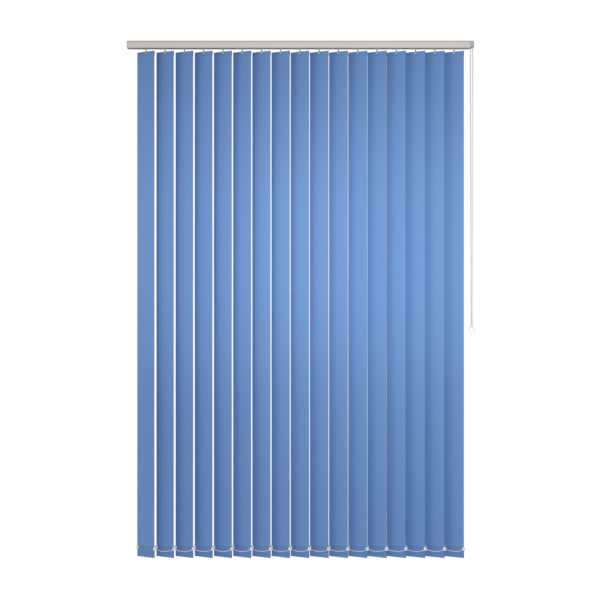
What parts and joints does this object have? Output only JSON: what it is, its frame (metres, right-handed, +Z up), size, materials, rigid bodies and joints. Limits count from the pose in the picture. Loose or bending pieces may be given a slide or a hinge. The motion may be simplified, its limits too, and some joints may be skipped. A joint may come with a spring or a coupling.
{
  "type": "vertical blind",
  "caption": "Vertical blind: slotted headrail with hanging blue fabric vanes that tilt and draw to one side, looped cord and bead chain with a loop weight.",
  "frame": {"origin": "on the headrail's top face, in the middle of the row of vanes", "axes": "+X along the rail towards the control side, +Y towards the window (away from the room), +Z up"},
  "size_m": [1.4438, 0.0596, 2.142],
  "materials": {
    "rail_finish": "satin",
    "end_plastic": "satin",
    "bare_aluminium": "drawn",
    "white_chain": "smooth",
    "white_cord": "braided",
    "white_plastic": "smooth",
    "carrier_plastic": "moulded",
    "hook_plastic": "moulded",
    "vane_fabric": "fine woven polyester"
  },
  "bodies": {
    "rail": {"headrail": "rail_finish", "return_end": "end_plastic", "control_end": "end_plastic", "tilt_chain": "white_chain", "pull_cord": "white_cord", "loop_weight": "white_plastic", "carrier_17": "carrier_plastic"},
    "truck_01": {"carrier_01": "carrier_plastic"},
    "truck_02": {"carrier_02": "carrier_plastic"},
    "truck_03": {"carrier_03": "carrier_plastic"},
    "truck_04": {"carrier_04": "carrier_plastic"},
    "truck_05": {"carrier_05": "carrier_plastic"},
    "truck_06": {"carrier_06": "carrier_plastic"},
    "truck_07": {"carrier_07": "carrier_plastic"},
    "truck_08": {"carrier_08": "carrier_plastic"},
    "truck_09": {"carrier_09": "carrier_plastic"},
    "truck_10": {"carrier_10": "carrier_plastic"},
    "truck_11": {"carrier_11": "carrier_plastic"},
    "truck_12": {"carrier_12": "carrier_plastic"},
    "truck_13": {"carrier_13": "carrier_plastic"},
    "truck_14": {"carrier_14": "carrier_plastic"},
    "truck_15": {"carrier_15": "carrier_plastic"},
    "truck_16": {"carrier_16": "carrier_plastic"},
    "louvre_01": {"hook_01": "hook_plastic", "vane_01": "vane_fabric"},
    "louvre_02": {"hook_02": "hook_plastic", "vane_02": "vane_fabric"},
    "louvre_03": {"hook_03": "hook_plastic", "vane_03": "vane_fabric"},
    "louvre_04": {"hook_04": "hook_plastic", "vane_04": "vane_fabric"},
    "louvre_05": {"hook_05": "hook_plastic", "vane_05": "vane_fabric"},
    "louvre_06": {"hook_06": "hook_plastic", "vane_06": "vane_fabric"},
    "louvre_07": {"hook_07": "hook_plastic", "vane_07": "vane_fabric"},
    "louvre_08": {"hook_08": "hook_plastic", "vane_08": "vane_fabric"},
    "louvre_09": {"hook_09": "hook_plastic", "vane_09": "vane_fabric"},
    "louvre_10": {"hook_10": "hook_plastic", "vane_10": "vane_fabric"},
    "louvre_11": {"hook_11": "hook_plastic", "vane_11": "vane_fabric"},
    "louvre_12": {"hook_12": "hook_plastic", "vane_12": "vane_fabric"},
    "louvre_13": {"hook_13": "hook_plastic", "vane_13": "vane_fabric"},
    "louvre_14": {"hook_14": "hook_plastic", "vane_14": "vane_fabric"},
    "louvre_15": {"hook_15": "hook_plastic", "vane_15": "vane_fabric"},
    "louvre_16": {"hook_16": "hook_plastic", "vane_16": "vane_fabric"},
    "louvre_17": {"hook_17": "hook_plastic", "vane_17": "vane_fabric"},
    "rod": {"tilt_rod": "bare_aluminium"},
    "front_chain": {"bottom_chain_front": "white_chain"},
    "rear_chain": {"bottom_chain_rear": "white_chain"}
  },
  "joints": [
    {"name": "traverse", "type": "slide", "parent": "rail", "child": "truck_01", "axis": [1, 0, 0], "range_m": [0, 1.024], "deforming": ["bottom_chain_front", "bottom_chain_rear"]},
    {"name": "traverse_02", "type": "slide", "parent": "rail", "child": "truck_02", "axis": [1, 0, 0], "range_m": [0, 0.96]},
    {"name": "traverse_03", "type": "slide", "parent": "rail", "child": "truck_03", "axis": [1, 0, 0], "range_m": [0, 0.896]},
    {"name": "traverse_04", "type": "slide", "parent": "rail", "child": "truck_04", "axis": [1, 0, 0], "range_m": [0, 0.832]},
    {"name": "traverse_05", "type": "slide", "parent": "rail", "child": "truck_05", "axis": [1, 0, 0], "range_m": [0, 0.768]},
    {"name": "traverse_06", "type": "slide", "parent": "rail", "child": "truck_06", "axis": [1, 0, 0], "range_m": [0, 0.704]},
    {"name": "traverse_07", "type": "slide", "parent": "rail", "child": "truck_07", "axis": [1, 0, 0], "range_m": [0, 0.64]},
    {"name": "traverse_08", "type": "slide", "parent": "rail", "child": "truck_08", "axis": [1, 0, 0], "range_m": [0, 0.576]},
    {"name": "traverse_09", "type": "slide", "parent": "rail", "child": "truck_09", "axis": [1, 0, 0], "range_m": [0, 0.512]},
    {"name": "traverse_10", "type": "slide", "parent": "rail", "child": "truck_10", "axis": [1, 0, 0], "range_m": [0, 0.448]},
    {"name": "traverse_11", "type": "slide", "parent": "rail", "child": "truck_11", "axis": [1, 0, 0], "range_m": [0, 0.384]},
    {"name": "traverse_12", "type": "slide", "parent": "rail", "child": "truck_12", "axis": [1, 0, 0], "range_m": [0, 0.32]},
    {"name": "traverse_13", "type": "slide", "parent": "rail", "child": "truck_13", "axis": [1, 0, 0], "range_m": [0, 0.256]},
    {"name": "traverse_14", "type": "slide", "parent": "rail", "child": "truck_14", "axis": [1, 0, 0], "range_m": [0, 0.192]},
    {"name": "traverse_15", "type": "slide", "parent": "rail", "child": "truck_15", "axis": [1, 0, 0], "range_m": [0, 0.128]},
    {"name": "traverse_16", "type": "slide", "parent": "rail", "child": "truck_16", "axis": [1, 0, 0], "range_m": [0, 0.064]},
    {"name": "tilt_01", "type": "hinge", "parent": "truck_01", "child": "louvre_01", "pos_m": [-0.64, 0, 0], "axis": [0, 0, -1], "range_deg": [-18.9, 137.1]},
    {"name": "tilt_02", "type": "hinge", "parent": "truck_02", "child": "louvre_02", "pos_m": [-0.56, 0, 0], "axis": [0, 0, -1], "range_deg": [-18.9, 137.1]},
    {"name": "tilt_03", "type": "hinge", "parent": "truck_03", "child": "louvre_03", "pos_m": [-0.48, 0, 0], "axis": [0, 0, -1], "range_deg": [-18.9, 137.1]},
    {"name": "tilt_04", "type": "hinge", "parent": "truck_04", "child": "louvre_04", "pos_m": [-0.4, 0, 0], "axis": [0, 0, -1], "range_deg": [-18.9, 137.1]},
    {"name": "tilt_05", "type": "hinge", "parent": "truck_05", "child": "louvre_05", "pos_m": [-0.32, 0, 0], "axis": [0, 0, -1], "range_deg": [-18.9, 137.1]},
    {"name": "tilt_06", "type": "hinge", "parent": "truck_06", "child": "louvre_06", "pos_m": [-0.24, 0, 0], "axis": [0, 0, -1], "range_deg": [-18.9, 137.1]},
    {"name": "tilt_07", "type": "hinge", "parent": "truck_07", "child": "louvre_07", "pos_m": [-0.16, 0, 0], "axis": [0, 0, -1], "range_deg": [-18.9, 137.1]},
    {"name": "tilt_08", "type": "hinge", "parent": "truck_08", "child": "louvre_08", "pos_m": [-0.08, 0, 0], "axis": [0, 0, -1], "range_deg": [-18.9, 137.1]},
    {"name": "tilt_09", "type": "hinge", "parent": "truck_09", "child": "louvre_09", "pos_m": [0, 0, 0], "axis": [0, 0, -1], "range_deg": [-18.9, 137.1]},
    {"name": "tilt_10", "type": "hinge", "parent": "truck_10", "child": "louvre_10", "pos_m": [0.08, 0, 0], "axis": [0, 0, -1], "range_deg": [-18.9, 137.1]},
    {"name": "tilt_11", "type": "hinge", "parent": "truck_11", "child": "louvre_11", "pos_m": [0.16, 0, 0], "axis": [0, 0, -1], "range_deg": [-18.9, 137.1]},
    {"name": "tilt_12", "type": "hinge", "parent": "truck_12", "child": "louvre_12", "pos_m": [0.24, 0, 0], "axis": [0, 0, -1], "range_deg": [-18.9, 137.1]},
    {"name": "tilt_13", "type": "hinge", "parent": "truck_13", "child": "louvre_13", "pos_m": [0.32, 0, 0], "axis": [0, 0, -1], "range_deg": [-18.9, 137.1]},
    {"name": "tilt_14", "type": "hinge", "parent": "truck_14", "child": "louvre_14", "pos_m": [0.4, 0, 0], "axis": [0, 0, -1], "range_deg": [-18.9, 137.1]},
    {"name": "tilt_15", "type": "hinge", "parent": "truck_15", "child": "louvre_15", "pos_m": [0.48, 0, 0], "axis": [0, 0, -1], "range_deg": [-18.9, 137.1]},
    {"name": "tilt_16", "type": "hinge", "parent": "truck_16", "child": "louvre_16", "pos_m": [0.56, 0, 0], "axis": [0, 0, -1], "range_deg": [-18.9, 137.1]},
    {"name": "tilt", "type": "hinge", "parent": "rail", "child": "louvre_17", "pos_m": [0.64, 0, 0], "axis": [0, 0, -1], "range_deg": [-18.9, 137.1]},
    {"name": "rod_turn", "type": "hinge", "parent": "rail", "child": "rod", "pos_m": [0, -0.00621, -0.015], "axis": [1, 0, 0], "range_deg": [-75.6, 548.4]},
    {"name": "front_chain_swing", "type": "hinge", "parent": "louvre_17", "child": "front_chain", "pos_m": [0.68247, -0.02542, -2.104], "axis": [0, 0, -1], "range_deg": [-137.1, 18.9]},
    {"name": "rear_chain_swing", "type": "hinge", "parent": "louvre_17", "child": "rear_chain", "pos_m": [0.59753, 0.02542, -2.104], "axis": [0, 0, -1], "range_deg": [-137.1, 18.9]}
  ],
  "couplings": [
    {"joint": "traverse_02", "follows": "traverse", "ratio": 0.9375},
    {"joint": "traverse_03", "follows": "traverse", "ratio": 0.875},
    {"joint": "traverse_04", "follows": "traverse", "ratio": 0.8125},
    {"joint": "traverse_05", "follows": "traverse", "ratio": 0.75},
    {"joint": "traverse_06", "follows": "traverse", "ratio": 0.6875},
    {"joint": "traverse_07", "follows": "traverse", "ratio": 0.625},
    {"joint": "traverse_08", "follows": "traverse", "ratio": 0.5625},
    {"joint": "traverse_09", "follows": "traverse", "ratio": 0.5},
    {"joint": "traverse_10", "follows": "traverse", "ratio": 0.4375},
    {"joint": "traverse_11", "follows": "traverse", "ratio": 0.375},
    {"joint": "traverse_12", "follows": "traverse", "ratio": 0.3125},
    {"joint": "traverse_13", "follows": "traverse", "ratio": 0.25},
    {"joint": "traverse_14", "follows": "traverse", "ratio": 0.1875},
    {"joint": "traverse_15", "follows": "traverse", "ratio": 0.125},
    {"joint": "traverse_16", "follows": "traverse", "ratio": 0.0625},
    {"joint": "tilt_01", "follows": "tilt", "ratio": 1},
    {"joint": "tilt_02", "follows": "tilt", "ratio": 1},
    {"joint": "tilt_03", "follows": "tilt", "ratio": 1},
    {"joint": "tilt_04", "follows": "tilt", "ratio": 1},
    {"joint": "tilt_05", "follows": "tilt", "ratio": 1},
    {"joint": "tilt_06", "follows": "tilt", "ratio": 1},
    {"joint": "tilt_07", "follows": "tilt", "ratio": 1},
    {"joint": "tilt_08", "follows": "tilt", "ratio": 1},
    {"joint": "tilt_09", "follows": "tilt", "ratio": 1},
    {"joint": "tilt_10", "follows": "tilt", "ratio": 1},
    {"joint": "tilt_11", "follows": "tilt", "ratio": 1},
    {"joint": "tilt_12", "follows": "tilt", "ratio": 1},
    {"joint": "tilt_13", "follows": "tilt", "ratio": 1},
    {"joint": "tilt_14", "follows": "tilt", "ratio": 1},
    {"joint": "tilt_15", "follows": "tilt", "ratio": 1},
    {"joint": "tilt_16", "follows": "tilt", "ratio": 1},
    {"joint": "rod_turn", "follows": "tilt", "ratio": 4},
    {"joint": "front_chain_swing", "follows": "tilt", "ratio": -1},
    {"joint": "rear_chain_swing", "follows": "tilt", "ratio": -1}
  ]
}
